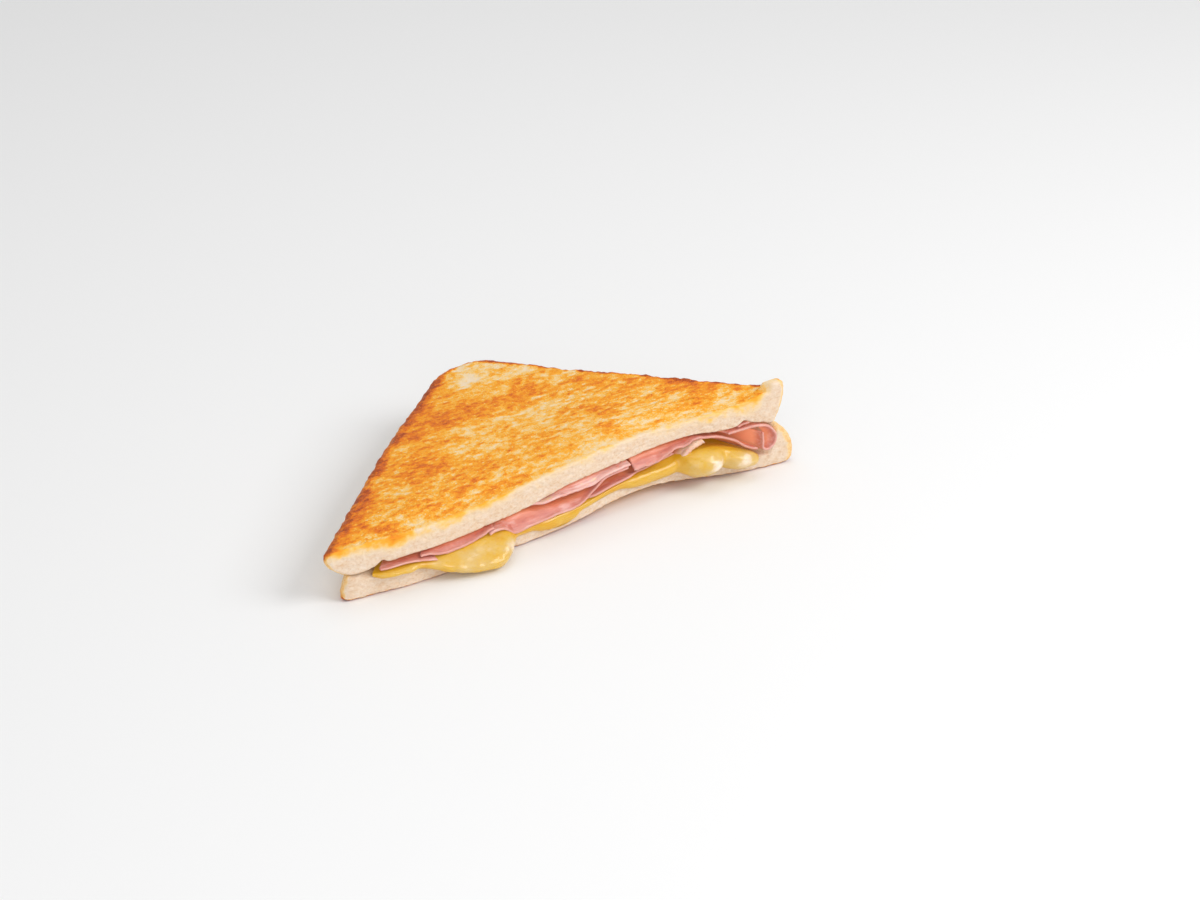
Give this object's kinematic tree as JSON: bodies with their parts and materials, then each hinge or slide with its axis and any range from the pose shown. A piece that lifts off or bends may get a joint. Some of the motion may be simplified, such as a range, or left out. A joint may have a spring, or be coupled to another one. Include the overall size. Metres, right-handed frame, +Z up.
{
  "type": "toasted ham and cheese sandwich half",
  "caption": "Triangular half of a toasted sandwich: browned sandwich loaf slices round folded thin ham and melted cheese that drips out of the diagonal cut.",
  "frame": {"origin": "middle of the rectangle that the half covers, on the surface that it lies on", "axes": "+X along the diagonal cut from the thin tip to the thick tip, +Y from the cut to the whole corner of the bread, +Z up through the slices"},
  "size_m": [0.1604, 0.0828, 0.0286],
  "materials": {
    "toast": "dry toasted bread, golden brown faces over pale crumb",
    "cheese": "smooth glossy melted cheese, slightly translucent",
    "ham": "moist cooked ham, pink with paler fibres"
  },
  "bodies": {
    "root": {"bread_bottom": "toast", "bread_top": "toast", "cheese": "cheese", "ham_left_low": "ham", "ham_left": "ham", "ham_middle": "ham", "ham_upper": "ham", "ham_under": "ham", "ham_right": "ham", "ham_fold": "ham", "ham_scrap": "ham", "ham_rind": "ham"}
  },
  "joints": []
}
